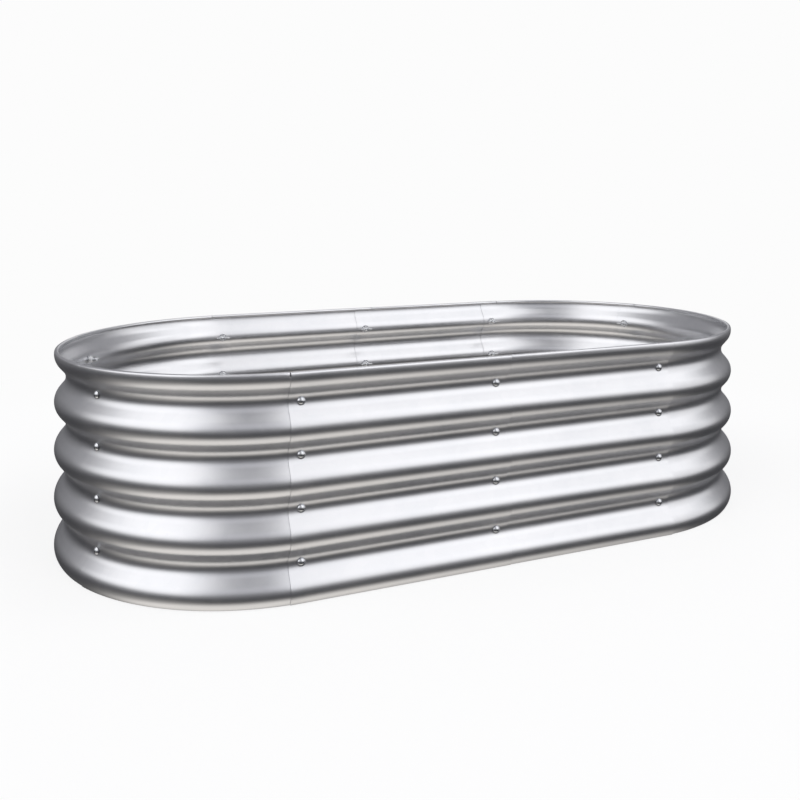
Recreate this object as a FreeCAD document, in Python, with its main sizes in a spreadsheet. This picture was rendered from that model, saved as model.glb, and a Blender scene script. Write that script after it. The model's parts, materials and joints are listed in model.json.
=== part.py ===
import FreeCAD, Part
import math
import os

import Sketcher

# Raised garden bed: an oval ring of corrugated galvanised steel sheet, open at the top and at the
# bottom.  Ten sheets lap each other at ten seams, and each seam is closed by a column of bolts, one
# in each trough, with a washer and a wing nut inside.  The top edge is rolled inwards.
#
# Frame: +X along the length, +Y to the back, +Z up.  The origin is the centre of the oval on the
# plane of the bottom edge.  Millimetres and degrees.

SIZES = {
    # corrugation
    "pitch": (70.0, "height of one wave"),
    "depth": (16.0, "crest to trough"),
    "flank_flat": (3.6, "straight length between the crest's arc and the trough's arc"),
    "crest_radius": (24.5, "outer radius of a crest"),
    "sheet": (0.6, "thickness of the steel"),
    "waves": (4, "whole waves between the lowest crest and the highest"),
    "first_crest": (14.2, "height of the lowest crest above the bottom edge"),
    # rolled rim
    "rim_turn": (8.0, "how far the top crest turns in before the roll starts, in degrees"),
    "roll_radius": (3.2, "outer radius of the roll"),
    # plan
    "end_radius": (298.0, "radius of the rounded ends, to the crests"),
    "half_straight": (286.5, "middle of the bed to the centre of a rounded end"),
    "end_panel_angle": (60.0, "arc of a corner sheet between its two seams, in degrees"),
    # seams
    "lap_margin": (17.5, "bolt line to the edge of a sheet"),
    "nest_gap": (0.2, "play between two lapped sheets"),
    "butt_gap": (0.5, "play between the rolls of two neighbours"),
    # fasteners
    "shank_diameter": (6.0, "bolt's shank"),
    "hole_play": (0.25, "play round the shank in a sheet's hole"),
    "head_diameter": (11.0, "bolt's domed head"),
    "head_height": (3.4, "bolt's domed head"),
    "head_edge": (0.9, "upright edge of the head"),
    "bolt_length": (16.0, "under the head"),
    "tip_chamfer": (0.8, "end of the shank"),
    "seat_gap": (0.1, "play under the washer, the nut and the head"),
    "washer_diameter": (14.0, "outside"),
    "washer_thickness": (1.2, "face to face"),
    "washer_play": (0.2, "play round the shank in the washer"),
    "thread_play": (0.05, "play round the shank in the nut"),
    "hub_base_diameter": (11.0, "nut's hub at the washer"),
    "hub_top_diameter": (9.0, "nut's hub at its far end"),
    "hub_height": (6.0, "nut's hub"),
    "wing_span": (24.0, "tip to tip"),
    "wing_height": (11.0, "washer to the tips"),
    "wing_tip_radius": (3.0, "rounded end of a wing"),
    "wing_foot": (1.0, "washer to the root of a wing"),
    "wing_thickness": (2.2, "of each wing, upright"),
}

doc = FreeCAD.newDocument("raised_garden_bed")
dims = doc.addObject("Spreadsheet::Sheet", "dims")
for row, (alias, (value, note)) in enumerate(SIZES.items(), start=1):
    dims.set(f"A{row}", alias)
    dims.set(f"B{row}", str(value))
    dims.set(f"C{row}", note)
    dims.setAlias(f"B{row}", alias)
doc.recompute()

# Sizes that follow from the sheet's cells.  The wave is a crest arc and a trough arc with a short
# straight flank tangent to both; the flank leans by twice the angle whose tangent is LEAN.
LEAN = "(dims.depth / (dims.pitch / 2 + dims.flank_flat))"
BOTH_RADII = (f"((dims.pitch / 2 * (1 + {LEAN}^2) - dims.flank_flat * (1 - {LEAN}^2))"
              f" / (2 * {LEAN}))")
CREST_CENTRE = "(dims.end_radius - dims.crest_radius)"
TROUGH_CENTRE = f"({CREST_CENTRE} - dims.depth + {BOTH_RADII})"
TOP_CREST = "(dims.first_crest + dims.waves * dims.pitch)"
FIRST_TROUGH = "(dims.first_crest + dims.pitch / 2)"
LAYER_STEP = "(dims.sheet + dims.nest_gap)"
LAP_ANGLE = "(dims.lap_margin / dims.end_radius * 180 / pi)"
# where a roll starts clear of the neighbour that laps it, taken inside the roll
ROLL_INSIDE = "(dims.end_radius - 3 * dims.roll_radius)"
BUTT_ANGLE = f"((dims.lap_margin + dims.butt_gap) / {ROLL_INSIDE} * 180 / pi)"
STRAIGHT_LENGTH = "(dims.half_straight + 2 * dims.lap_margin)"
SHANK_RADIUS = "(dims.shank_diameter / 2)"
# a corner sheet ends this far from the middle of the end, in degrees
END_SEAM = "(90 - dims.end_panel_angle)"
END_CENTRE = {"left": "-dims.half_straight", "right": "dims.half_straight"}
TURN = {"front": -1, "back": 1}


def crest_radius(layer):
    return f"(dims.crest_radius - {layer} * {LAYER_STEP})"


def trough_radius(layer):
    return f"({BOTH_RADII} - dims.crest_radius + {layer} * {LAYER_STEP})"


def trough_face(layer):
    """Distance of a trough's outer face from the centre line."""
    return f"(dims.end_radius - dims.depth - {layer} * {LAYER_STEP})"


def number(expression):
    return float(dims.evalExpression(expression))


# --------------------------------------------------------------------------------------------
# Sketches
# --------------------------------------------------------------------------------------------

ORIGIN = (-1, 1)
HORIZONTAL_AXIS = -1
START, END, CENTRE = 1, 2, 3


def new_body(label):
    body = doc.addObject("PartDesign::Body", label)
    body.Label = label
    return body


def origin_item(body, role):
    return next(item for item in body.Origin.OriginFeatures if item.Role == role)


def new_sketch(body, name, plane):
    sketch = body.newObject("Sketcher::SketchObject", f"{body.Name}_{name}")
    sketch.AttachmentSupport = [(origin_item(body, plane), "")]
    sketch.MapMode = "FlatFace"
    return sketch


def turn_sketch(sketch, hand, angle):
    """Turns an upright sketch about the body's Z axis; hand is 1 anticlockwise, -1 clockwise."""
    sketch.AttachmentOffset = FreeCAD.Placement(
        FreeCAD.Vector(), FreeCAD.Rotation(FreeCAD.Vector(0, hand, 0), number(angle)))
    sketch.setExpression("AttachmentOffset.Rotation.Angle", angle)


def add_arc(sketch, centre, radius, start, end):
    circle = Part.Circle(FreeCAD.Vector(*centre, 0), FreeCAD.Vector(0, 0, 1), radius)
    return sketch.addGeometry(Part.ArcOfCircle(circle, start, end), False)


def add_line(sketch, start, end):
    line = Part.LineSegment(FreeCAD.Vector(*start, 0), FreeCAD.Vector(*end, 0))
    return sketch.addGeometry(line, False)


def joint_point(sketch, geometry, position):
    point = sketch.getPoint(geometry, position)
    return (point.x, point.y)


def close_gap(sketch, first, first_end, second, second_end):
    """Joins two ends by a straight line."""
    line = add_line(sketch, joint_point(sketch, first, first_end),
                    joint_point(sketch, second, second_end))
    sketch.addConstraint(Sketcher.Constraint("Coincident", first, first_end, line, START))
    sketch.addConstraint(Sketcher.Constraint("Coincident", line, END, second, second_end))


def bind(sketch, kind, places, expression):
    """Adds a dimension whose value is an expression."""
    index = sketch.addConstraint(Sketcher.Constraint(kind, *places, number(expression)))
    sketch.setExpression(f"Constraints[{index}]", expression)


def place_point(sketch, geometry, position, x, y):
    bind(sketch, "DistanceX", (*ORIGIN, geometry, position), x)
    bind(sketch, "DistanceY", (*ORIGIN, geometry, position), y)


def polygon(sketch, corners):
    """Closed outline of straight lines through corners given as pairs of expressions."""
    points = [(number(x), number(y)) for x, y in corners]
    lines = [add_line(sketch, points[i], points[(i + 1) % len(points)]) for i in range(len(points))]
    for i, line in enumerate(lines):
        following = lines[(i + 1) % len(lines)]
        sketch.addConstraint(Sketcher.Constraint("Coincident", line, END, following, START))
    for line, (x, y) in zip(lines, corners):
        place_point(sketch, line, START, x, y)


# --------------------------------------------------------------------------------------------
# Section of the sheet, drawn in the plane of the radius (sketch X) and the height (sketch Y)
# --------------------------------------------------------------------------------------------

def wave_face(sketch, crest, trough):
    """One face of the sheet from the lowest crest to the next; returns its two crest arcs."""
    lean = 2 * math.atan(number(LEAN))
    low = number("dims.first_crest")
    half = number("dims.pitch") / 2
    crest_x, trough_x = number(CREST_CENTRE), number(TROUGH_CENTRE)
    big, small = number(crest), number(trough)
    lower = add_arc(sketch, (crest_x, low), big, 0, lean)
    valley = add_arc(sketch, (trough_x, low + half), small, math.pi - lean, math.pi + lean)
    upper = add_arc(sketch, (crest_x, low + 2 * half), big, -lean, 0)
    climb = add_line(sketch, joint_point(sketch, lower, END), joint_point(sketch, valley, END))
    rise = add_line(sketch, joint_point(sketch, valley, START), joint_point(sketch, upper, START))
    for first, first_end, second, second_end in (
            (lower, END, climb, START), (climb, END, valley, END),
            (valley, START, rise, START), (rise, END, upper, START)):
        sketch.addConstraint(Sketcher.Constraint("Tangent", first, first_end, second, second_end))
    place_point(sketch, lower, CENTRE, CREST_CENTRE, "dims.first_crest")
    place_point(sketch, valley, CENTRE, TROUGH_CENTRE, FIRST_TROUGH)
    place_point(sketch, upper, CENTRE, CREST_CENTRE, "dims.first_crest + dims.pitch")
    bind(sketch, "Radius", (lower,), crest)
    bind(sketch, "Radius", (valley,), trough)
    bind(sketch, "Radius", (upper,), crest)
    sketch.addConstraint(Sketcher.Constraint("Horizontal", lower, CENTRE, lower, START))
    sketch.addConstraint(Sketcher.Constraint("Horizontal", upper, CENTRE, upper, END))
    return lower, upper


def wave_section(sketch, layer):
    outer = wave_face(sketch, crest_radius(layer), trough_radius(layer))
    inner = wave_face(sketch, f"{crest_radius(layer)} - dims.sheet",
                      f"{trough_radius(layer)} + dims.sheet")
    close_gap(sketch, outer[0], START, inner[0], START)
    close_gap(sketch, outer[1], END, inner[1], END)


def foot_section(sketch, layer):
    """The lowest crest's underside, cut level at the bottom edge."""
    arcs = []
    for radius in (crest_radius(layer), f"{crest_radius(layer)} - dims.sheet"):
        size = number(radius)
        low = number("dims.first_crest")
        arc = add_arc(sketch, (number(CREST_CENTRE), low), size, -math.asin(low / size), 0)
        place_point(sketch, arc, CENTRE, CREST_CENTRE, "dims.first_crest")
        bind(sketch, "Radius", (arc,), radius)
        sketch.addConstraint(Sketcher.Constraint("Horizontal", arc, CENTRE, arc, END))
        sketch.addConstraint(Sketcher.Constraint("PointOnObject", arc, START, HORIZONTAL_AXIS))
        arcs.append(arc)
    close_gap(sketch, arcs[0], START, arcs[1], START)
    close_gap(sketch, arcs[0], END, arcs[1], END)


def rim_section(sketch, layer):
    """The top crest turning in, and the hollow roll that ends below its own centre."""
    turn = math.radians(number("dims.rim_turn"))
    crest_x, crest_z = number(CREST_CENTRE), number(TOP_CREST)
    reach = number(f"{crest_radius(layer)} - dims.roll_radius")
    roll_centre = (crest_x + reach * math.cos(turn), crest_z + reach * math.sin(turn))
    crests = []
    rolls = []
    for cut in ("0", "dims.sheet"):
        crest_size = f"{crest_radius(layer)} - {cut}"
        roll_size = f"dims.roll_radius - {cut}"
        crest = add_arc(sketch, (crest_x, crest_z), number(crest_size), 0, turn)
        roll = add_arc(sketch, roll_centre, number(roll_size), turn, 1.5 * math.pi)
        sketch.addConstraint(Sketcher.Constraint("Tangent", crest, END, roll, START))
        place_point(sketch, crest, CENTRE, CREST_CENTRE, TOP_CREST)
        bind(sketch, "Radius", (crest,), crest_size)
        bind(sketch, "Radius", (roll,), roll_size)
        bind(sketch, "DistanceY", (crest, CENTRE, roll, CENTRE),
             f"({crest_radius(layer)} - dims.roll_radius) * sin(dims.rim_turn * 1 deg)")
        sketch.addConstraint(Sketcher.Constraint("Horizontal", crest, CENTRE, crest, START))
        sketch.addConstraint(Sketcher.Constraint("Vertical", roll, CENTRE, roll, END))
        crests.append(crest)
        rolls.append(roll)
    close_gap(sketch, crests[0], START, crests[1], START)
    close_gap(sketch, rolls[0], END, rolls[1], END)


# --------------------------------------------------------------------------------------------
# Sheets
# --------------------------------------------------------------------------------------------

def repeat_up(body, *features):
    """Repeats features up the body, once for each wave."""
    pattern = body.newObject("PartDesign::LinearPattern", f"{features[0].Name}_column")
    pattern.Originals = list(features)
    pattern.Direction = (origin_item(body, "Z_Axis"), [""])
    pattern.setExpression("Length", "(dims.waves - 1) * dims.pitch")
    pattern.setExpression("Occurrences", "dims.waves")
    body.Tip = pattern


def pad_section(body, name, section, layer, start, length):
    """Runs a section of the sheet straight along the body's +Y from start."""
    sketch = new_sketch(body, f"{name}_section", "XZ_Plane")
    section(sketch, layer)
    sketch.AttachmentOffset = FreeCAD.Placement(
        FreeCAD.Vector(0, 0, -number(start)), FreeCAD.Rotation())
    sketch.setExpression("AttachmentOffset.Base.z", f"-({start})")
    pad = body.newObject("PartDesign::Pad", f"{body.Name}_{name}")
    pad.Profile = sketch
    pad.Reversed = True
    pad.setExpression("Length", length)
    body.Tip = pad
    return pad


def turn_section(body, name, section, layer, sweep, hand=0, start=None):
    """Runs a section of the sheet round the body's Z axis, to both sides where hand is 0."""
    sketch = new_sketch(body, f"{name}_section", "XZ_Plane")
    section(sketch, layer)
    if start:
        turn_sketch(sketch, hand, start)
    turned = body.newObject("PartDesign::Revolution", f"{body.Name}_{name}")
    turned.Profile = sketch
    turned.ReferenceAxis = (origin_item(body, "Z_Axis"), [""])
    turned.Midplane = hand == 0
    turned.Reversed = hand < 0
    turned.setExpression("Angle", sweep)
    body.Tip = turned
    return turned


def drill_column(body, name, offset="0", hand=0, angle=None):
    """Holes in the troughs at one seam: offset along the sheet, or turned about the Z axis."""
    sketch = new_sketch(body, f"{name}_holes", "YZ_Plane")
    if angle:
        turn_sketch(sketch, hand, angle)
    radius = f"{SHANK_RADIUS} + dims.hole_play"
    circle = Part.Circle(FreeCAD.Vector(number(offset), number(FIRST_TROUGH), 0),
                         FreeCAD.Vector(0, 0, 1), number(radius))
    hole = sketch.addGeometry(circle, False)
    place_point(sketch, hole, CENTRE, offset, FIRST_TROUGH)
    bind(sketch, "Radius", (hole,), radius)
    drilled = body.newObject("PartDesign::Pocket", f"{body.Name}_{name}_drilled")
    drilled.Profile = sketch
    drilled.Type = "ThroughAll"
    drilled.Reversed = True
    body.Tip = drilled
    repeat_up(body, drilled)


def place_body(body, centre, hand, angle, radius="0", height="0"):
    """Stands a body at a centre on the X axis, its own +X turned to an angle and out by radius."""
    body.Placement = FreeCAD.Placement(
        FreeCAD.Vector(), FreeCAD.Rotation(FreeCAD.Vector(0, 0, hand), number(angle)))
    body.setExpression("Placement.Rotation.Angle", angle)
    body.setExpression("Placement.Base.x", f"{centre} + {radius} * cos({angle} * 1 deg)")
    body.setExpression("Placement.Base.y", f"{hand} * {radius} * sin({angle} * 1 deg)")
    body.setExpression("Placement.Base.z", height)


def straight_panel(label, side, half, layer):
    """Flat-running sheet from the middle seam to a rounded end, lapping past both seams."""
    body = new_body(label)
    covered = f"({2 * layer} * dims.lap_margin + {layer} * dims.butt_gap)"
    from_middle = (side == "front") == (half == "right")
    rim_start = covered if from_middle else "0"
    repeat_up(body, pad_section(body, "wave", wave_section, layer, "0", STRAIGHT_LENGTH))
    pad_section(body, "foot", foot_section, layer, "0", STRAIGHT_LENGTH)
    pad_section(body, "rim", rim_section, layer, rim_start, f"{STRAIGHT_LENGTH} - {covered}")
    drill_column(body, "near", "dims.lap_margin")
    drill_column(body, "far", "dims.lap_margin + dims.half_straight")
    # the body's +Y runs to the right along the front and to the left along the back
    to_start = "dims.lap_margin" if from_middle else "(dims.half_straight + dims.lap_margin)"
    place_body(body, f"{TURN[side]} * {to_start}", TURN[side], "90")
    return body


def corner_panel(label, side, half, layer):
    """Rounded sheet from the end of a straight side to the seam beside the middle of the end."""
    body = new_body(label)
    hand = 1 if (side == "front") == (half == "right") else -1
    past_seam = f"dims.end_panel_angle + {LAP_ANGLE}"
    flange_start = "-dims.lap_margin" if hand > 0 else "0"
    turned = turn_section(body, "wave", wave_section, layer, past_seam, hand)
    repeat_up(body, turned)
    flange = pad_section(body, "flange", wave_section, layer, flange_start, "dims.lap_margin")
    repeat_up(body, flange)
    turn_section(body, "foot", foot_section, layer, past_seam, hand)
    pad_section(body, "flange_foot", foot_section, layer, flange_start, "dims.lap_margin")
    turn_section(body, "rim", rim_section, layer, f"{past_seam} - {BUTT_ANGLE}", hand, BUTT_ANGLE)
    drill_column(body, "side_seam")
    drill_column(body, "end_seam", "0", hand, "dims.end_panel_angle")
    place_body(body, END_CENTRE[half], TURN[side], "90")
    return body


def end_panel(label, half, layer):
    """Rounded sheet across the middle of an end, under both corner sheets."""
    body = new_body(label)
    sweep = f"2 * ({END_SEAM} + {LAP_ANGLE})"
    turned = turn_section(body, "wave", wave_section, layer, sweep)
    repeat_up(body, turned)
    turn_section(body, "foot", foot_section, layer, sweep)
    turn_section(body, "rim", rim_section, layer, f"2 * ({END_SEAM} - {BUTT_ANGLE})")
    for hand, name in ((1, "one"), (-1, "other")):
        drill_column(body, f"{name}_seam", "0", hand, END_SEAM)
    place_body(body, END_CENTRE[half], 1, "0" if half == "right" else "180")
    return body


# --------------------------------------------------------------------------------------------
# Fasteners: each body is drawn with its axis along X, outwards, and repeated up the seam
# --------------------------------------------------------------------------------------------

def turn_profile(body, sketch):
    """Turns an outline about the body's X axis."""
    turned = body.newObject("PartDesign::Revolution", f"{body.Name}_turned")
    turned.Profile = sketch
    turned.ReferenceAxis = (origin_item(body, "X_Axis"), [""])
    turned.Angle = 360
    body.Tip = turned
    return turned


def bolts(label, layer):
    """Domed head outside; its flat underside bears on the two flanks of the trough."""
    body = new_body(label)
    curve = trough_radius(layer)
    seat = f"({curve} - sqrt({curve}^2 - (dims.head_diameter / 2)^2) + dims.seat_gap)"
    edge = f"{seat} + dims.head_edge"
    top = f"{seat} + dims.head_height"
    tip = f"{seat} - dims.bolt_length"
    rim = "dims.head_diameter / 2"
    sketch = new_sketch(body, "profile", "XY_Plane")
    rise = number("dims.head_height - dims.head_edge")
    half = number(rim)
    dome_radius = (half ** 2 + rise ** 2) / (2 * rise)
    dome_centre = (number(top) - dome_radius, 0)
    dome = add_arc(sketch, dome_centre, dome_radius, 0, math.asin(half / dome_radius))
    corners = ((edge, rim), (seat, rim), (seat, SHANK_RADIUS),
               (f"{tip} + dims.tip_chamfer", SHANK_RADIUS),
               (tip, f"{SHANK_RADIUS} - dims.tip_chamfer"), (tip, "0"))
    points = [(number(x), number(y)) for x, y in corners] + [(number(top), 0)]
    lines = [add_line(sketch, points[i], points[i + 1]) for i in range(len(points) - 1)]
    for first, second in zip(lines, lines[1:]):
        sketch.addConstraint(Sketcher.Constraint("Coincident", first, END, second, START))
    for line, (x, y) in zip(lines, corners):
        place_point(sketch, line, START, x, y)
    sketch.addConstraint(Sketcher.Constraint("Coincident", dome, END, lines[0], START))
    sketch.addConstraint(Sketcher.Constraint("Coincident", lines[-1], END, dome, START))
    sketch.addConstraint(Sketcher.Constraint("PointOnObject", dome, CENTRE, HORIZONTAL_AXIS))
    place_point(sketch, dome, START, top, "0")
    repeat_up(body, turn_profile(body, sketch))
    return body


def washers(label):
    body = new_body(label)
    bore = f"{SHANK_RADIUS} + dims.washer_play"
    outside = "dims.washer_diameter / 2"
    sketch = new_sketch(body, "profile", "XY_Plane")
    polygon(sketch, (("0", bore), ("0", outside), ("-dims.washer_thickness", outside),
                     ("-dims.washer_thickness", bore)))
    repeat_up(body, turn_profile(body, sketch))
    return body


def wing_nuts(label):
    """Tapered hub with two level wings that lean away from the sheet."""
    body = new_body(label)
    bore = f"{SHANK_RADIUS} + dims.thread_play"
    profile = new_sketch(body, "profile", "XY_Plane")
    polygon(profile, (("0", bore), ("0", "dims.hub_base_diameter / 2"),
                      ("-dims.hub_height", "dims.hub_top_diameter / 2"),
                      ("-dims.hub_height", bore)))
    hub = turn_profile(body, profile)
    root = f"({bore} + dims.hub_top_diameter / 2) / 2"
    tip_along = "-(dims.wing_height - dims.wing_tip_radius)"
    tip_across = "(dims.wing_span / 2 - dims.wing_tip_radius)"
    sketch = new_sketch(body, "wings", "XY_Plane")
    for way in (1, -1):
        wing_outline(sketch, way, root, tip_along, tip_across)
    wings = body.newObject("PartDesign::Pad", f"{body.Name}_wings")
    wings.Profile = sketch
    wings.SideType = "Symmetric"
    wings.setExpression("Length", "dims.wing_thickness")
    body.Tip = wings
    repeat_up(body, hub, wings)
    return body


def wing_outline(sketch, way, root, tip_along, tip_across):
    """One wing: two lines from inside the hub's wall, tangent to a round tip."""
    near = (number("-dims.wing_foot"), way * number(root))
    far = (number("-dims.hub_height"), way * number(root))
    tip = (number(tip_along), way * number(tip_across))
    radius = number("dims.wing_tip_radius")

    def touch(point, turn):
        """Angle on the tip's circle where a line from the point is tangent."""
        across, up = point[0] - tip[0], point[1] - tip[1]
        return math.atan2(up, across) + turn * math.acos(radius / math.hypot(across, up))

    near_angle = touch(near, way)
    far_angle = touch(far, -way)
    start, end = (near_angle, far_angle) if way > 0 else (far_angle, near_angle)
    while end < start:
        end += 2 * math.pi
    arc = add_arc(sketch, tip, radius, start, end)
    near_end, far_end = (START, END) if way > 0 else (END, START)
    near_line = add_line(sketch, near, joint_point(sketch, arc, near_end))
    far_line = add_line(sketch, joint_point(sketch, arc, far_end), far)
    sketch.addConstraint(Sketcher.Constraint("Tangent", near_line, END, arc, near_end))
    sketch.addConstraint(Sketcher.Constraint("Tangent", arc, far_end, far_line, START))
    close_gap(sketch, far_line, END, near_line, START)
    place_point(sketch, near_line, START, "-dims.wing_foot", f"{way} * ({root})")
    place_point(sketch, far_line, END, "-dims.hub_height", f"{way} * ({root})")
    place_point(sketch, arc, CENTRE, tip_along, f"{way} * {tip_across}")
    bind(sketch, "Radius", (arc,), "dims.wing_tip_radius")


def seam(name, centre, hand, angle, layer):
    """Bolts, washers and wing nuts of one seam, whose outer sheet is in the given layer."""
    lapped = f"({trough_face(layer)} - {LAYER_STEP} - dims.sheet)"
    washer_face = f"({lapped} - dims.seat_gap)"
    nut_face = f"({washer_face} - dims.washer_thickness - dims.seat_gap)"
    pieces = ((bolts(f"{name}_bolts", layer), trough_face(layer)),
              (washers(f"{name}_washers"), washer_face),
              (wing_nuts(f"{name}_wing_nuts"), nut_face))
    for body, radius in pieces:
        place_body(body, centre, hand, angle, radius, FIRST_TROUGH)
    return [body for body, radius in pieces]


# --------------------------------------------------------------------------------------------
# The whole bed.  Layer 0 is outermost, and each further layer lies inside the one before it.
# --------------------------------------------------------------------------------------------

bed = []
for side in ("front", "back"):
    bed.append(straight_panel(f"{side}_left_side_sheet", side, "left", 0))
    bed.append(straight_panel(f"{side}_right_side_sheet", side, "right", 1))
    bed.append(corner_panel(f"{side}_left_corner_sheet", side, "left", 1))
    bed.append(corner_panel(f"{side}_right_corner_sheet", side, "right", 2))
bed.append(end_panel("left_end_sheet", "left", 2))
bed.append(end_panel("right_end_sheet", "right", 3))

for side, hand in TURN.items():
    bed += seam(f"{side}_middle_seam", "0", hand, "90", 0)
    bed += seam(f"{side}_left_seam", END_CENTRE["left"], hand, "90", 0)
    bed += seam(f"{side}_right_seam", END_CENTRE["right"], hand, "90", 1)
    bed += seam(f"left_end_{side}_seam", END_CENTRE["left"], hand, f"(180 - {END_SEAM})", 1)
    bed += seam(f"right_end_{side}_seam", END_CENTRE["right"], hand, END_SEAM, 2)

doc.recompute()

faults = [item.Name for item in doc.Objects if "Invalid" in item.State or "Error" in item.State]
if faults:
    raise RuntimeError(f"these objects did not compute: {faults}")
for body in bed:
    if body.Shape.isNull() or not body.Shape.isValid():
        raise RuntimeError(f"{body.Label} has no valid shape")

os.makedirs("parts", exist_ok=True)
for body in bed:
    body.Shape.exportStep(os.path.join("parts", f"{body.Label}.step"))
    box = body.Shape.BoundBox
    print(f"{body.Label}: {len(body.Shape.Solids)} solid(s), {body.Shape.Volume:.0f} mm3, "
          f"x {box.XMin:.1f} to {box.XMax:.1f}, y {box.YMin:.1f} to {box.YMax:.1f}, "
          f"z {box.ZMin:.1f} to {box.ZMax:.1f} mm")
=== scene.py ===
import json
import math

import bpy
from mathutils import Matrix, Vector

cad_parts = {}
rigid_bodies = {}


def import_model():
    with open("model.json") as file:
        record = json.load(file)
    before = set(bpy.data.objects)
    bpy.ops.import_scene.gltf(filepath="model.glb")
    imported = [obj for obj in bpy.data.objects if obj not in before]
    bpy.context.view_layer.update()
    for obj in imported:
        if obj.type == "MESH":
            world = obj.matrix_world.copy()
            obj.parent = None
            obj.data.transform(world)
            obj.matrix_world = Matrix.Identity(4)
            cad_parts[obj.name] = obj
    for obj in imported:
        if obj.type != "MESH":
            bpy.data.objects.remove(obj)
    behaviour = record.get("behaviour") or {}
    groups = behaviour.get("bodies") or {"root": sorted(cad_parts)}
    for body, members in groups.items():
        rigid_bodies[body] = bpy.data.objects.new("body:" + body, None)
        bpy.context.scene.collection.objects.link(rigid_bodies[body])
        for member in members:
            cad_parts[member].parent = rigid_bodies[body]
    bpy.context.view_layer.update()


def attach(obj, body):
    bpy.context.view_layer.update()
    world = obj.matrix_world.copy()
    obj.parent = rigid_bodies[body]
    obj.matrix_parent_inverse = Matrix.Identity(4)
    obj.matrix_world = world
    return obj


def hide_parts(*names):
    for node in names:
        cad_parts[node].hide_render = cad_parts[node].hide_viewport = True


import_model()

# Raised garden bed of corrugated galvanised sheets, seen from the front left and a little above.
# Every piece is modelled here and stands in for its CAD node: the sheets with eased edges, the bolts
# with their threads, the washers, and the wing nuts with rounded wings.
# Lengths are written in millimetres and made metres by MM; angles are in degrees.

MM = 0.001
AXIS = (0, 0, 0)


# --------------------------------------------------------------------------------------------
# Sizes, as in the CAD
# --------------------------------------------------------------------------------------------

# Corrugation and plan. Only the flanks differ from the CAD: they are drawn longer here and the
# troughs a little tighter, as the bands of light on the real sheets ask. That moves a flank by
# less than 0.6 mm.
PITCH = 70.0            # from crest to crest
DEPTH = 16.0            # from crest to trough
FLANK = 9.0             # straight length between a crest's curve and a trough's
CREST = 24.5            # outer radius of a crest
FIRST_CREST = 14.2      # height of the lowest crest
WAVES = 4               # whole waves above the lowest crest
SHEET = 0.6             # thickness of a sheet
LAYER_STEP = 0.8        # from a sheet to the one that lies under it in a lap
RIM_TURN = 8.0          # how far the top crest turns in before the roll starts, in degrees
ROLL = 3.2              # outer radius of the roll
ROLL_END = 270.0        # where the roll ends, in degrees from straight out
END_RADIUS = 298.0      # outside of the rounded ends, over the crests
HALF_STRAIGHT = 286.5   # half the straight length of a side
END_SEAM = 30.0         # degrees from the middle of an end to the seam beside it
LAP = 17.5              # how far a sheet runs past the bolts of its seam
BUTT_PLAY = 0.5         # gap where the rolls of two sheets meet
FOOT_LIFT = 0.25        # height of the middle of the bottom edge, so that its corners stay above 0

# What follows from them: how far the flanks lean, the trough's curve, and angles of lap and butt
SLOPE = DEPTH / (PITCH / 2 + FLANK)
LEAN = 2 * math.degrees(math.atan(SLOPE))
BOTH_CURVES = (PITCH / 2 * (1 + SLOPE ** 2) - FLANK * (1 - SLOPE ** 2)) / (2 * SLOPE)
TROUGH = BOTH_CURVES - CREST
FIRST_TROUGH = FIRST_CREST + PITCH / 2
TOP_CREST = FIRST_CREST + WAVES * PITCH
TROUGH_FACE = END_RADIUS - DEPTH
ROLL_INSIDE = END_RADIUS - 3 * ROLL
LAP_ANGLE = math.degrees(LAP / END_RADIUS)
BUTT_ANGLE = math.degrees((LAP + BUTT_PLAY) / ROLL_INSIDE)
STRAIGHT = HALF_STRAIGHT + 2 * LAP

# Narrow strip at each cut edge, which keeps the shine of the wide faces beside it flat
EDGE_RUN = 0.6
EDGE_ANGLE = math.degrees(EDGE_RUN / END_RADIUS)

# How finely the curves of a sheet are drawn: steps in an arc, and degrees round an end
FOOT_STEPS = 12
WAVE_STEPS = 14
RIM_STEPS = 9
ROLL_STEPS = 22
END_STEP = 1.5

# Rounding of a sheet's cut edges, where its faces meet at more than the given angle
EASED_EDGE = 0.27
EASED_STEPS = 3
EASED_ANGLE = 50

# Up to what angle the faces are shaded as one, and how near points are merged
SMOOTH_SHEET = 35
SMOOTH_RING = 40
SMOOTH_WING = 30
MERGE_SHEET = 0.01
MERGE_FASTENER = 0.001

# Bolt
SHANK = 3.0             # radius
BOLT_LENGTH = 16.0      # below the head
BOLT_TIP = 0.8          # chamfer at the tip
THREAD_PITCH = 1.0
THREAD_DEPTH = 0.45
THREAD_TURNS = 13
HEAD = 5.5              # radius
HEAD_EDGE = 0.9         # height of the head's rim
HEAD_HEIGHT = 3.4       # height of the whole head
HEAD_EASED_BELOW = 0.25
HEAD_EASED_ABOVE = 0.2
DOME_RINGS = 9
BOLT_SIDES = 28

# Washer
WASHER = 7.0            # outer radius
WASHER_BORE = 3.2       # radius of the hole
WASHER_THICKNESS = 1.2
WASHER_EASED = 0.2
WASHER_SIDES = 40

# Wing nut
NUT_BASE = 5.5          # radius where it bears on the washer
NUT_TOP = 4.5           # radius at the free end
NUT_HEIGHT = 6.0
NUT_BORE = 3.05
NUT_EASED = 0.3
NUT_SIDES = 32
WING_THICKNESS = 2.2
WING_ROOT = 3.7         # where a wing starts inside the hub, from the axis
WING_START = 1.0        # length of the block that a wing is drawn out of
WING_LIFT = 1.0         # clear height under a wing

# The free end of the nut is rounded in two steps, each a rise and an inset
NUT_ROUNDED = ((0.4, 0.25), (0.2, 0.7))

# A wing is drawn out in steps: how far out, how far towards the free end, and by what it swells
WING_STEPS = ((2.2, 1.2, 1.0), (2.2, 2.0, 1.05), (1.9, 1.1, 1.0), (1.0, 0.0, 0.72))
WING_ROUNDING = 2       # levels of subdivision
WING_FACE_PLAY = 0.05   # by how much the wing's last face may lie short of its reach

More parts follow.
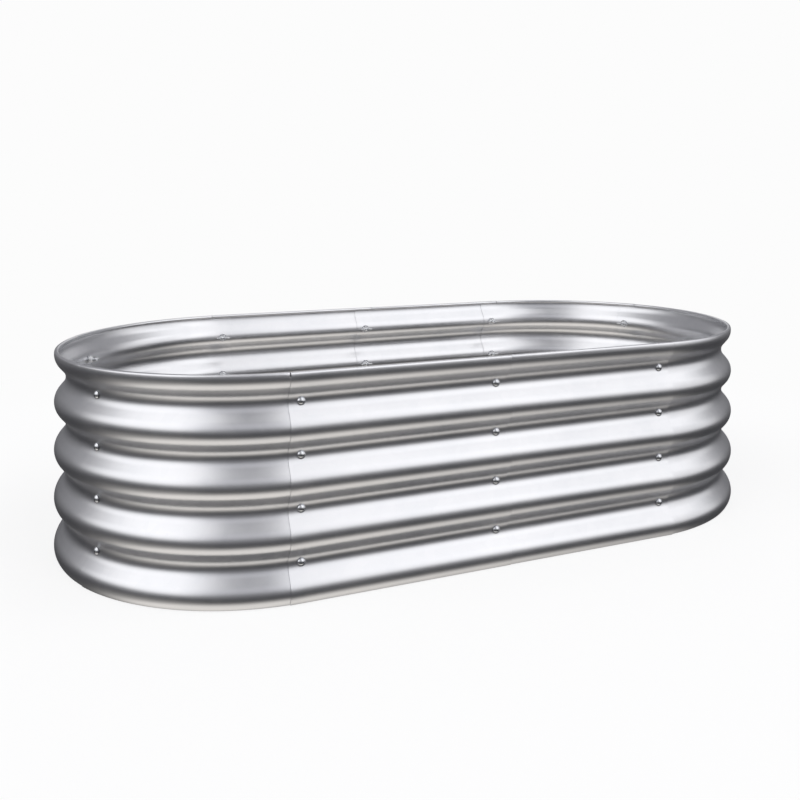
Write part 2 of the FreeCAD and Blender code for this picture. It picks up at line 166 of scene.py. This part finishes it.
# Play under heads, washers and nuts
PLAY = 0.1


# --------------------------------------------------------------------------------------------
# Camera: level, at 23 degrees to the bed's front, with the picture shifted down
# --------------------------------------------------------------------------------------------

CAMERA_TURN = math.radians(22.916)
CAMERA_DISTANCE = 1512.9 * MM
CAMERA_HEIGHT = 523.95 * MM
FOCAL_LENGTH = 39.38
SENSOR_WIDTH = 36
SHIFT_RIGHT = -0.0241
SHIFT_UP = -0.2526
NEAREST = 50 * MM
FARTHEST = 50000 * MM

camera_lens = bpy.data.cameras.new("photo_camera")
camera = bpy.data.objects.new("photo_camera", camera_lens)
bpy.context.scene.collection.objects.link(camera)
bpy.context.scene.camera = camera
camera.location = (-math.sin(CAMERA_TURN) * CAMERA_DISTANCE,
                   -math.cos(CAMERA_TURN) * CAMERA_DISTANCE, CAMERA_HEIGHT)
camera.rotation_euler = (math.radians(90), 0, -CAMERA_TURN)
camera_lens.sensor_width = SENSOR_WIDTH
camera_lens.lens = FOCAL_LENGTH
camera_lens.shift_x = SHIFT_RIGHT
camera_lens.shift_y = SHIFT_UP
camera_lens.clip_start = NEAREST
camera_lens.clip_end = FARTHEST


# --------------------------------------------------------------------------------------------
# Colour and nodes
# --------------------------------------------------------------------------------------------

def linear(hex_code):
    """sRGB hex as written to the linear colour that the shaders take."""
    shades = [int(hex_code[i:i + 2], 16) / 255 for i in (1, 3, 5)]
    return (*[s / 12.92 if s <= 0.04045 else ((s + 0.055) / 1.055) ** 2.4 for s in shades], 1.0)


def add_node(tree, kind, inputs=None, **settings):
    """Adds a node; an input is given as a value or as the socket that feeds it."""
    node = tree.nodes.new(kind)
    for name, value in settings.items():
        setattr(node, name, value)
    for socket, value in (inputs or {}).items():
        if isinstance(value, bpy.types.NodeSocket):
            tree.links.new(value, node.inputs[socket])
        else:
            node.inputs[socket].default_value = value
    return node


def tint_ramp(tree, source, dark, light):
    """Colour that runs from dark to light over two stops, each a place from 0 to 1 and a colour."""
    tint = add_node(tree, "ShaderNodeValToRGB", {"Fac": source})
    for stop, (place, colour) in zip(tint.color_ramp.elements, (dark, light)):
        stop.position = place
        stop.color = linear(colour)
    return tint.outputs["Color"]


def new_material(name):
    """A new material, and its node tree, which is empty."""
    material = bpy.data.materials.new(name)
    material.use_nodes = True
    material.node_tree.nodes.clear()
    return material, material.node_tree


# --------------------------------------------------------------------------------------------
# Materials
# --------------------------------------------------------------------------------------------

def galvanised_sheet():
    """Hot-dip galvanised steel sheet, skin-passed: smooth bright zinc with a faint spangle of
    crystals about 12 mm across, and faint lines that the rolls left along the strip."""
    material, tree = new_material("galvanised_sheet_steel")
    place = add_node(tree, "ShaderNodeTexCoord").outputs["Object"]
    crystals = add_node(tree, "ShaderNodeTexVoronoi", {"Vector": place, "Scale": 1 / (12 * MM)},
                        feature="F1", voronoi_dimensions="3D")
    tones = add_node(tree, "ShaderNodeSeparateColor", {"Color": crystals.outputs["Color"]})
    clouds = add_node(tree, "ShaderNodeTexNoise",
                      {"Vector": place, "Scale": 1 / (90 * MM), "Detail": 3.0, "Roughness": 0.55})
    along = add_node(tree, "ShaderNodeMapping",
                     {"Vector": place, "Scale": (1 / (60 * MM), 1 / (60 * MM), 1 / (0.8 * MM))})
    lines = add_node(tree, "ShaderNodeTexNoise",
                     {"Vector": along.outputs["Vector"], "Scale": 1.0, "Detail": 2.0})
    blend = add_node(tree, "ShaderNodeMix",
                     {"Factor": 0.12, "A": clouds.outputs["Fac"], "B": tones.outputs["Red"]},
                     data_type="FLOAT")
    tint = tint_ramp(tree, blend.outputs["Result"], (0.25, "#d8d9dc"), (0.75, "#e4e4e6"))
    shine = add_node(tree, "ShaderNodeMapRange",
                     {"Value": blend.outputs["Result"], "From Min": 0.2, "From Max": 0.8,
                      "To Min": 0.29, "To Max": 0.33})
    relief = add_node(tree, "ShaderNodeMix",
                      {"Factor": 0.5, "A": clouds.outputs["Fac"], "B": lines.outputs["Fac"]},
                      data_type="FLOAT")
    bump = add_node(tree, "ShaderNodeBump",
                    {"Height": relief.outputs["Result"], "Strength": 0.03, "Distance": 0.1 * MM})
    steel = add_node(tree, "ShaderNodeBsdfPrincipled",
                     {"Base Color": tint, "Metallic": 1.0,
                      "Roughness": shine.outputs["Result"], "Normal": bump.outputs["Normal"]})
    add_node(tree, "ShaderNodeOutputMaterial", {"Surface": steel.outputs["BSDF"]})
    return material


def zinc_plate(name, dark, light, smooth, dull):
    """Electroplated zinc on fasteners: cool, even silver with fine marks of tumbling, which vary
    the tint from dark to light and the finish from smooth to dull."""
    material, tree = new_material(name)
    place = add_node(tree, "ShaderNodeTexCoord").outputs["Object"]
    marks = add_node(tree, "ShaderNodeTexNoise",
                     {"Vector": place, "Scale": 1 / (1.5 * MM), "Detail": 3.0, "Roughness": 0.6})
    tint = tint_ramp(tree, marks.outputs["Fac"], (0.3, dark), (0.7, light))
    shine = add_node(tree, "ShaderNodeMapRange",
                     {"Value": marks.outputs["Fac"], "To Min": smooth, "To Max": dull})
    bump = add_node(tree, "ShaderNodeBump",
                    {"Height": marks.outputs["Fac"], "Strength": 0.1, "Distance": 0.05 * MM})
    plate = add_node(tree, "ShaderNodeBsdfPrincipled",
                     {"Base Color": tint, "Metallic": 1.0,
                      "Roughness": shine.outputs["Result"], "Normal": bump.outputs["Normal"]})
    add_node(tree, "ShaderNodeOutputMaterial", {"Surface": plate.outputs["BSDF"]})
    return material


SHEET_STEEL = galvanised_sheet()

# Bolts and washers are smooth steel, so their plating mirrors more sharply than the sheets; the
# wing nuts are cast, so theirs is paler and more matt
BRIGHT_ZINC = zinc_plate("bright_zinc_plating", "#c9ccd0", "#e0e1e3", 0.12, 0.28)
CAST_ZINC = zinc_plate("zinc_plated_casting", "#e2e4e6", "#f4f4f5", 0.34, 0.50)


# --------------------------------------------------------------------------------------------
# Modelling
# --------------------------------------------------------------------------------------------

def clear_selection():
    """Deselects every object, since an operator acts on all that is selected."""
    for item in bpy.context.scene.objects:
        item.select_set(False)


def select_only(piece):
    """Makes one piece the selected and the active one."""
    clear_selection()
    piece.select_set(True)
    bpy.context.view_layer.objects.active = piece


def apply_place():
    """Moves the place, turn and size of the selected pieces into their meshes."""
    bpy.ops.object.transform_apply(location=True, rotation=True, scale=True)


def choose_faces(piece, wanted):
    """Selects in edit mode the faces that a test on a face picks."""
    bpy.ops.object.mode_set(mode="OBJECT")
    mesh = piece.data
    for group in (mesh.vertices, mesh.edges, mesh.polygons):
        for element in group:
            element.select = False
    for face in mesh.polygons:
        face.select = wanted(face)
    bpy.ops.object.mode_set(mode="EDIT")
    bpy.ops.mesh.select_mode(type="FACE")


def disc(name, radius, height, sides):
    """A flat round face, facing +Z, chosen and ready to be extruded."""
    clear_selection()
    bpy.ops.mesh.primitive_circle_add(vertices=sides, radius=radius * MM, fill_type="NGON",
                                      location=(0, 0, height * MM))
    piece = bpy.context.active_object
    piece.name = name
    apply_place()
    bpy.ops.object.mode_set(mode="EDIT")
    bpy.ops.mesh.select_all(action="SELECT")
    return piece


def raise_ring(height, scale):
    """Extrudes the chosen face or ring by a height and scales it about the Z axis."""
    bpy.ops.mesh.extrude_region_move(TRANSFORM_OT_translate={"value": (0, 0, height * MM)})
    if scale != 1:
        bpy.ops.transform.resize(value=(scale, scale, 1), center_override=AXIS)


def finish_mesh(piece, angle):
    """Closes the mesh, turns its faces outwards and smooths what isn't an edge."""
    bpy.ops.mesh.select_all(action="SELECT")
    bpy.ops.mesh.remove_doubles(threshold=MERGE_FASTENER * MM)
    bpy.ops.mesh.normals_make_consistent(inside=False)
    bpy.ops.object.mode_set(mode="OBJECT")
    select_only(piece)
    bpy.ops.object.shade_smooth_by_angle(angle=math.radians(angle))


def turned_ring(name, bore, sides, section):
    """A ring that is drawn outwards from its bore and back; each step of its section is a rise
    and a radius."""
    clear_selection()
    bpy.ops.mesh.primitive_circle_add(vertices=sides, radius=bore * MM, fill_type="NOTHING",
                                      location=AXIS)
    piece = bpy.context.active_object
    piece.name = name
    bpy.ops.object.mode_set(mode="EDIT")
    bpy.ops.mesh.select_mode(type="VERT")
    bpy.ops.mesh.select_all(action="SELECT")
    radius = bore
    for rise, next_radius in section:
        raise_ring(rise, next_radius / radius)
        radius = next_radius
    finish_mesh(piece, SMOOTH_RING)
    return piece


def dress(piece, name, material):
    """Names a finished piece and gives it its one material."""
    piece.name = name
    piece.data.name = name
    piece.data.materials.clear()
    piece.data.materials.append(material)


def stand(piece, name, centre, angle, material):
    """Applies a turn about Z and a place on the X axis, and dresses the piece."""
    piece.rotation_euler = (0, 0, math.radians(angle))
    piece.location = (centre * MM, 0, 0)
    select_only(piece)
    apply_place()
    dress(piece, name, material)


# Sheets: one line is drawn from the bottom edge up to the end of the roll, and carried along.
# Run with no window, spin turns clockwise about its axis, so the axes here point the other way.

def swing(centre, degrees, steps):
    """Carries the end of the line round a centre in the XZ plane, anticlockwise from +X to +Z."""
    bpy.ops.mesh.spin(steps=steps, angle=math.radians(degrees),
                      center=(centre[0] * MM, 0, centre[1] * MM), axis=(0, 1, 0))


def draw_flank(way):
    """A short straight run, leaning in (-1) below a trough or out (1) above it."""
    lean = math.radians(LEAN)
    bpy.ops.mesh.extrude_region_move(TRANSFORM_OT_translate={
        "value": (way * FLANK * math.sin(lean) * MM, 0, FLANK * math.cos(lean) * MM)})


def wave_line(layer):
    """The middle of the sheet's thickness as a line of edges, left in edit mode."""
    crest = CREST - layer * LAYER_STEP - SHEET / 2
    crest_x = END_RADIUS - CREST
    trough_x = crest_x - DEPTH + BOTH_CURVES
    foot = math.degrees(math.asin((FIRST_CREST - FOOT_LIFT) / crest))
    clear_selection()
    bpy.ops.mesh.primitive_plane_add(size=MM)
    piece = bpy.context.active_object
    bpy.ops.object.mode_set(mode="EDIT")
    bpy.ops.mesh.select_mode(type="VERT")
    bpy.ops.mesh.select_all(action="SELECT")
    bpy.ops.mesh.merge(type="CENTER")
    bpy.ops.transform.translate(value=((crest_x + crest * math.cos(math.radians(foot))) * MM, 0,
                                       (FIRST_CREST - crest * math.sin(math.radians(foot))) * MM))
    swing((crest_x, FIRST_CREST), foot + LEAN, FOOT_STEPS)
    for wave in range(WAVES):
        level = FIRST_CREST + wave * PITCH
        draw_flank(-1)
        swing((trough_x, level + PITCH / 2), -2 * LEAN, WAVE_STEPS)
        draw_flank(1)
        if wave < WAVES - 1:
            swing((crest_x, level + PITCH), 2 * LEAN, WAVE_STEPS)
        else:
            swing((crest_x, level + PITCH), LEAN + RIM_TURN, RIM_STEPS)
    turn = math.radians(RIM_TURN)
    reach = crest - ROLL + SHEET / 2
    swing((crest_x + reach * math.cos(turn), TOP_CREST + reach * math.sin(turn)),
          ROLL_END - RIM_TURN, ROLL_STEPS)
    bpy.ops.mesh.select_all(action="SELECT")
    return piece


def run_on(distance):
    """Carries the line straight along +Y."""
    bpy.ops.mesh.extrude_region_move(TRANSFORM_OT_translate={"value": (0, distance * MM, 0)})


def run_round(degrees):
    """Carries the line round the Z axis, anticlockwise seen from above."""
    bpy.ops.mesh.spin(steps=max(1, round(degrees / END_STEP)), angle=math.radians(degrees),
                      center=AXIS, axis=(0, 0, -1))


def take_rim_off(piece, covered):
    """Deletes the roll where a test on a face's centre says that a neighbour's roll covers it."""
    choose_faces(piece, lambda face: face.center.z > TOP_CREST * MM and covered(face.center))
    bpy.ops.mesh.delete(type="FACE")


def give_thickness(piece, mirrored=False):
    """Closes seams, turns the faces one way, and gives the sheet its wall with eased edges."""
    bpy.ops.mesh.select_all(action="SELECT")
    if mirrored:
        bpy.ops.transform.resize(value=(1, -1, 1), center_override=AXIS)
    bpy.ops.mesh.remove_doubles(threshold=MERGE_SHEET * MM)
    bpy.ops.mesh.normals_make_consistent(inside=False)
    bpy.ops.object.mode_set(mode="OBJECT")
    select_only(piece)
    wall = piece.modifiers.new("wall", "SOLIDIFY")
    wall.thickness = SHEET * MM
    wall.offset = 0
    wall.use_even_offset = True
    bpy.ops.object.modifier_apply(modifier="wall")
    eased = piece.modifiers.new("eased", "BEVEL")
    eased.width = EASED_EDGE * MM
    eased.segments = EASED_STEPS
    eased.limit_method = "ANGLE"
    eased.angle_limit = math.radians(EASED_ANGLE)
    bpy.ops.object.modifier_apply(modifier="eased")
    bpy.ops.object.shade_smooth_by_angle(angle=math.radians(SMOOTH_SHEET))


def side_sheet(name, side, half, layer):
    """Straight sheet from the middle seam to a rounded end, drawn towards +X in front and towards
    -X behind."""
    piece = wave_line(layer)
    covered = layer * (2 * LAP + BUTT_PLAY)
    from_middle = (side == "front") == (half == "right")
    run_on(EDGE_RUN)
    if layer:
        first = covered if from_middle else STRAIGHT - covered
        run_on(first - EDGE_RUN)
        run_on(STRAIGHT - first - EDGE_RUN)
        run_on(EDGE_RUN)
        if from_middle:
            take_rim_off(piece, lambda centre: centre.y < first * MM)
        else:
            take_rim_off(piece, lambda centre: centre.y > first * MM)
    else:
        run_on(STRAIGHT - 2 * EDGE_RUN)
        run_on(EDGE_RUN)
    give_thickness(piece)
    way = -1 if side == "front" else 1
    start = LAP if from_middle else HALF_STRAIGHT + LAP
    stand(piece, name, way * start, way * 90, SHEET_STEEL)
    return piece


def corner_sheet(name, side, half, layer):
    """A short straight flange, then the curve to the seam beside the middle of the end."""
    piece = wave_line(layer)
    bpy.ops.transform.translate(value=(0, -LAP * MM, 0))
    run_on(EDGE_RUN)
    run_on(LAP - EDGE_RUN)
    run_round(BUTT_ANGLE)
    run_round(90 - END_SEAM + LAP_ANGLE - BUTT_ANGLE - EDGE_ANGLE)
    run_round(EDGE_ANGLE)
    limit = math.radians(BUTT_ANGLE)
    take_rim_off(piece, lambda centre: math.atan2(centre.y, centre.x) < limit)
    give_thickness(piece, mirrored=(side == "front") != (half == "right"))
    centre = HALF_STRAIGHT if half == "right" else -HALF_STRAIGHT
    stand(piece, name, centre, -90 if side == "front" else 90, SHEET_STEEL)
    return piece


def end_sheet(name, half, layer):
    """The curve across the middle of an end."""
    piece = wave_line(layer)
    hidden = LAP_ANGLE + BUTT_ANGLE
    open_part = 2 * (END_SEAM - BUTT_ANGLE)
    run_round(EDGE_ANGLE)
    run_round(hidden - EDGE_ANGLE)
    run_round(open_part)
    run_round(hidden - EDGE_ANGLE)
    run_round(EDGE_ANGLE)
    first, last = math.radians(hidden), math.radians(hidden + open_part)
    take_rim_off(piece, lambda centre: not first < math.atan2(centre.y, centre.x) < last)
    give_thickness(piece)
    turned = 0 if half == "right" else 180
    centre = HALF_STRAIGHT if half == "right" else -HALF_STRAIGHT
    stand(piece, name, centre, turned - END_SEAM - LAP_ANGLE, SHEET_STEEL)
    return piece


def bolt():
    """Mushroom-headed bolt along +Z: threaded shank below, rim, and a dome drawn in rings."""
    piece = disc("bolt", SHANK - BOLT_TIP, -BOLT_LENGTH, BOLT_SIDES)
    raise_ring(BOLT_TIP, SHANK / (SHANK - BOLT_TIP))
    root = (SHANK - THREAD_DEPTH) / SHANK
    # One turn of thread, as shares of its pitch: crest, way in, root, way out
    thread = ((0.15, 1), (0.3, root), (0.2, 1), (0.35, 1 / root))
    for _ in range(THREAD_TURNS):
        for share, scale in thread:
            raise_ring(share * THREAD_PITCH, scale)
    raise_ring(BOLT_LENGTH - BOLT_TIP - THREAD_TURNS * THREAD_PITCH, 1)
    shoulder = HEAD - HEAD_EASED_BELOW
    raise_ring(0, shoulder / SHANK)
    raise_ring(HEAD_EASED_BELOW, HEAD / shoulder)
    raise_ring(HEAD_EDGE - HEAD_EASED_BELOW - HEAD_EASED_ABOVE, 1)
    radius = HEAD - HEAD_EASED_ABOVE
    raise_ring(HEAD_EASED_ABOVE, radius / HEAD)
    rise = HEAD_HEIGHT - HEAD_EDGE
    ball = (HEAD ** 2 + rise ** 2) / (2 * rise)
    start = math.asin(radius / ball)
    level = ball * math.cos(start)
    for ring in range(1, DOME_RINGS):
        angle = start * (1 - ring / DOME_RINGS)
        next_radius = ball * math.sin(angle)
        next_level = ball * math.cos(angle)
        raise_ring(next_level - level, next_radius / radius)
        radius = next_radius
        level = next_level
    finish_mesh(piece, SMOOTH_RING)
    return piece


def washer():
    """Flat punched washer below z = 0: the rim's edges are eased, the hole's are left sharp."""
    section = ((0, WASHER - WASHER_EASED), (-WASHER_EASED, WASHER),
               (2 * WASHER_EASED - WASHER_THICKNESS, WASHER),
               (-WASHER_EASED, WASHER - WASHER_EASED), (0, WASHER_BORE),
               (WASHER_THICKNESS, WASHER_BORE))
    return turned_ring("washer", WASHER_BORE, WASHER_SIDES, section)


def selected_points(piece):
    """The corners that are selected in edit mode."""
    piece.update_from_editmode()
    return [point for point in piece.data.vertices if point.select]


def wing(way):
    """One wing: a block from inside the hub drawn out in steps, widened at its round end."""
    clear_selection()
    depth = NUT_HEIGHT - WING_LIFT
    bpy.ops.mesh.primitive_cube_add(
        size=1, location=(way * (WING_ROOT + WING_START / 2) * MM, 0,
                          -(WING_LIFT + depth / 2) * MM),
        scale=(WING_START * MM, WING_THICKNESS * MM, depth * MM))
    piece = bpy.context.active_object
    piece.name = "wing"
    apply_place()
    reach = WING_ROOT + WING_START
    for along, sweep, swell in WING_STEPS:
        choose_faces(piece, lambda face: way * face.normal.x > 0.5
                     and way * face.center.x > (reach - WING_FACE_PLAY) * MM)
        bpy.ops.mesh.extrude_region_move(
            TRANSFORM_OT_translate={"value": (way * along * MM, 0, -sweep * MM)})
        points = selected_points(piece)
        middle = sum((point.co for point in points), Vector()) / len(points)
        bpy.ops.transform.resize(value=(1, swell, swell), center_override=middle)
        bpy.ops.object.mode_set(mode="OBJECT")
        reach = reach + along
    bpy.ops.object.mode_set(mode="EDIT")
    finish_mesh(piece, SMOOTH_WING)
    rounded = piece.modifiers.new("rounded", "SUBSURF")
    rounded.levels = WING_ROUNDING
    rounded.render_levels = WING_ROUNDING
    bpy.ops.object.modifier_apply(modifier="rounded")
    return piece


def wing_nut():
    """Cast wing nut below z = 0: a tapered hub, rounded at its free end, and two full wings."""
    rounding = [(-rise, NUT_TOP - inset) for rise, inset in NUT_ROUNDED]
    taper = NUT_HEIGHT - NUT_EASED - sum(rise for rise, inset in NUT_ROUNDED)
    section = [(0, NUT_BASE - NUT_EASED), (-NUT_EASED, NUT_BASE), (-taper, NUT_TOP), *rounding,
               (NUT_EASED, NUT_BORE), (NUT_HEIGHT - NUT_EASED, NUT_BORE)]
    hub = turned_ring("wing_nut", NUT_BORE, NUT_SIDES, section)
    wings = [wing(1), wing(-1)]
    select_only(hub)
    for part in wings:
        part.select_set(True)
    bpy.ops.object.join()
    hub.rotation_euler = (0, 0, math.radians(90))
    apply_place()
    return hub


def place_column(template, name, centre, angle, radius, material):
    """Four copies of a fastener, one in each trough of a seam, as one piece."""
    turn = math.radians(angle)
    copies = []
    for wave in range(WAVES):
        copy = template.copy()
        copy.data = template.data.copy()
        bpy.context.scene.collection.objects.link(copy)
        copy.rotation_euler = (0, math.radians(90), turn)
        copy.location = ((centre + radius * math.cos(turn)) * MM, radius * math.sin(turn) * MM,
                         (FIRST_TROUGH + wave * PITCH) * MM)
        copies.append(copy)
    clear_selection()
    for copy in copies:
        copy.select_set(True)
    bpy.context.view_layer.objects.active = copies[0]
    apply_place()
    bpy.ops.object.join()
    piece = bpy.context.active_object
    dress(piece, name, material)
    return piece


# --------------------------------------------------------------------------------------------
# Bed: each piece is modelled and stands for its CAD node
# --------------------------------------------------------------------------------------------

# Each seam, in front and again behind: name, X of the centre that its sheets curve about, the
# direction in which it faces behind (in front it is the negative), and layer of its outer sheet
SEAMS = (("{}_middle", 0, 90, 0), ("{}_left", -HALF_STRAIGHT, 90, 0),
         ("{}_right", HALF_STRAIGHT, 90, 1),
         ("left_end_{}", -HALF_STRAIGHT, 180 - END_SEAM, 1),
         ("right_end_{}", HALF_STRAIGHT, END_SEAM, 2))


def stand_for(piece, node):
    """Puts a piece in the place of its CAD node; the whole bed is one body."""
    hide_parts(node)
    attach(piece, "root")


def make_sheets():
    """Side and corner sheets in front and behind, then the two end sheets."""
    for side in ("front", "back"):
        for half, layer in (("left", 0), ("right", 1)):
            node = f"{side}_{half}_side_sheet"
            piece = side_sheet(f"{node}_finished", side, half, layer)
            stand_for(piece, node)
            node = f"{side}_{half}_corner_sheet"
            piece = corner_sheet(f"{node}_finished", side, half, layer + 1)
            stand_for(piece, node)
    for half, layer in (("left", 2), ("right", 3)):
        node = f"{half}_end_sheet"
        piece = end_sheet(f"{node}_finished", half, layer)
        stand_for(piece, node)


def fasten_seam(seam, centre, angle, layer, templates):
    """The bolts, washers and wing nuts of one seam, each kind seated on what it bears on."""
    face = TROUGH_FACE - layer * LAYER_STEP
    curve = TROUGH + layer * LAYER_STEP
    seat = curve - math.sqrt(curve ** 2 - HEAD ** 2) + PLAY
    washer_face = face - LAYER_STEP - SHEET - PLAY
    levels = {"bolts": face + seat, "washers": washer_face,
              "wing_nuts": washer_face - WASHER_THICKNESS - PLAY}
    for kind, template in templates.items():
        material = CAST_ZINC if kind == "wing_nuts" else BRIGHT_ZINC
        piece = place_column(template, f"{seam}_{kind}_finished", centre, angle, levels[kind],
                             material)
        stand_for(piece, f"{seam}_seam_{kind}")


def make_fasteners():
    """One bolt, washer and wing nut are modelled, copied to every seam, and put away."""
    templates = {"bolts": bolt(), "washers": washer(), "wing_nuts": wing_nut()}
    for pattern, centre, angle, layer in SEAMS:
        for side, way in (("front", -1), ("back", 1)):
            fasten_seam(pattern.format(side), centre, way * angle, layer, templates)
    for template in templates.values():
        bpy.data.objects.remove(template)


make_sheets()
make_fasteners()


# --------------------------------------------------------------------------------------------
# Studio: white floor and backdrop, and soft patches of light round a dark room
# --------------------------------------------------------------------------------------------

world = bpy.data.worlds.new("soft_studio")
bpy.context.scene.world = world
world.use_nodes = True
studio = world.node_tree
studio.nodes.clear()
bpy.context.scene.view_settings.view_transform = "Standard"

# Where a ray looks: height above the horizon, and bearing from the front (0) over the right (90)
# to the back (180), or over the left (-90)
direction = add_node(studio, "ShaderNodeSeparateXYZ",
                     {"Vector": add_node(studio, "ShaderNodeTexCoord").outputs["Generated"]})
height = add_node(studio, "ShaderNodeMath", {0: direction.outputs["Z"]}, operation="ARCSINE")
forward = add_node(studio, "ShaderNodeMath", {0: direction.outputs["Y"], 1: -1.0},
                   operation="MULTIPLY")
bearing = add_node(studio, "ShaderNodeMath",
                   {0: direction.outputs["X"], 1: forward.outputs["Value"]}, operation="ARCTAN2")


def fade(source, start, end):
    """Rises smoothly from 0 to 1 between two angles in degrees, or falls where start is higher."""
    low, high = (0.0, 1.0) if start < end else (1.0, 0.0)
    first, last = sorted((start, end))
    return add_node(studio, "ShaderNodeMapRange",
                    {"Value": source.outputs["Value"], "From Min": math.radians(first),
                     "From Max": math.radians(last), "To Min": low, "To Max": high},
                    interpolation_type="SMOOTHSTEP").outputs["Result"]


def panel(colour, strength, *edges):
    """A patch of light that its fades make soft-edged; without any it is the same all round."""
    level = strength
    for edge in edges:
        level = add_node(studio, "ShaderNodeMath", {0: level, 1: edge},
                         operation="MULTIPLY").outputs["Value"]
    return add_node(studio, "ShaderNodeBackground", {"Color": linear(colour), "Strength": level})


patches = [
    # the dark room all round, a little lighter from the horizon up and again towards the ceiling
    panel("#e8e8f0", 0.07),
    panel("#f0f0f4", 0.14, fade(height, -20, 4)),
    panel("#f0f0f6", 0.16, fade(height, 0, 26)),
    # dim strip in front and to its left, half-way up
    panel("#f0f0f6", 0.26, fade(bearing, -70, -40), fade(bearing, 30, 0),
          fade(height, 8, 22), fade(height, 56, 40)),
    # main soft panel, in front and to the right, in two halves, and its weaker upper part
    panel("#ffffff", 1.10, fade(bearing, -2, 22), fade(bearing, 46, 28), fade(height, -2, 16)),
    panel("#ffffff", 0.78, fade(bearing, 26, 40), fade(bearing, 98, 76), fade(height, -12, 2)),
    panel("#ffffff", 0.35, fade(bearing, 44, 66), fade(bearing, 98, 80), fade(height, 20, 40)),
    # left panel
    panel("#ffffff", 1.10, fade(bearing, -128, -100), fade(bearing, -30, -58),
          fade(height, -2, 14)),
    # panel behind and to the right, which shows in what faces up
    panel("#ffffff", 0.50, fade(bearing, 128, 150), fade(bearing, 179, 164),
          fade(height, 0, 16)),
    # light from the floor: wide to the left and fading to the right, a weak band on the left
    # nearer the horizon, and the same all round below
    panel("#fffaf2", 0.46, fade(bearing, -150, -110), fade(bearing, 84, 40),
          fade(height, -30, -52)),
    panel("#fffaf2", 0.22, fade(bearing, -125, -95), fade(bearing, -30, -60),
          fade(height, -14, -34), fade(height, -62, -50)),
    panel("#fffaf2", 0.50, fade(height, -38, -58)),
]
light = patches[0]
for patch in patches[1:]:
    light = add_node(studio, "ShaderNodeAddShader",
                     {0: light.outputs[0], 1: patch.outputs[0]})

# The camera sees a plain white backdrop in place of them
BACKDROP = "#fcfcfc"
backdrop = add_node(studio, "ShaderNodeBackground", {"Color": linear(BACKDROP), "Strength": 1.0})
ray = add_node(studio, "ShaderNodeLightPath")
seen = add_node(studio, "ShaderNodeMixShader",
                {0: ray.outputs["Is Camera Ray"], 1: light.outputs[0], 2: backdrop.outputs[0]})
add_node(studio, "ShaderNodeOutputWorld", {"Surface": seen.outputs["Shader"]})


FLOOR_SIZE = 60000 * MM
FLOOR_DROP = 0.1 * MM
PAINT_FULL = 800 * MM       # up to here from the origin the floor is painted
PAINT_GONE = 1500 * MM      # and from here on it isn't
FLOOR_GLOW = 0.796          # what the grey paint lacks to the backdrop's white, as measured


def white_floor():
    """Matt white floor. Near the bed a grey paint takes its soft shadow and a glow makes up what
    the paint lacks to the backdrop's white; farther out it is the backdrop's white alone. That is
    what the camera sees; shiny surfaces see the studio's own floor light through it, and other
    rays meet plain white paint."""
    material, tree = new_material("matt_white_floor")
    place = add_node(tree, "ShaderNodeTexCoord").outputs["Object"]
    distance = add_node(tree, "ShaderNodeVectorMath", {0: place}, operation="LENGTH")
    near = add_node(tree, "ShaderNodeMapRange",
                    {"Value": distance.outputs["Value"], "From Min": PAINT_FULL,
                     "From Max": PAINT_GONE, "To Min": 1.0, "To Max": 0.0},
                    interpolation_type="SMOOTHSTEP")
    matt = add_node(tree, "ShaderNodeBsdfDiffuse", {"Color": linear("#8c8c8c")})
    glow = add_node(tree, "ShaderNodeEmission",
                    {"Color": linear(BACKDROP), "Strength": FLOOR_GLOW})
    shaded = add_node(tree, "ShaderNodeAddShader", {0: matt.outputs[0], 1: glow.outputs[0]})
    plain = add_node(tree, "ShaderNodeEmission", {"Color": linear(BACKDROP), "Strength": 1.0})
    look = add_node(tree, "ShaderNodeMixShader",
                    {0: near.outputs["Result"], 1: plain.outputs[0], 2: shaded.outputs[0]})
    rays = add_node(tree, "ShaderNodeLightPath")
    bounce = add_node(tree, "ShaderNodeBsdfDiffuse", {"Color": linear("#f2f2f2")})
    solid = add_node(tree, "ShaderNodeMixShader",
                     {0: rays.outputs["Is Camera Ray"], 1: bounce.outputs[0], 2: look.outputs[0]})
    clear = add_node(tree, "ShaderNodeBsdfTransparent")
    floor_seen = add_node(tree, "ShaderNodeMixShader",
                          {0: rays.outputs["Is Glossy Ray"], 1: solid.outputs[0],
                           2: clear.outputs[0]})
    add_node(tree, "ShaderNodeOutputMaterial", {"Surface": floor_seen.outputs[0]})
    return material


clear_selection()
bpy.ops.mesh.primitive_plane_add(size=FLOOR_SIZE, location=(0, 0, -FLOOR_DROP))
floor = bpy.context.active_object
floor.name = "studio_floor"
floor.data.materials.append(white_floor())
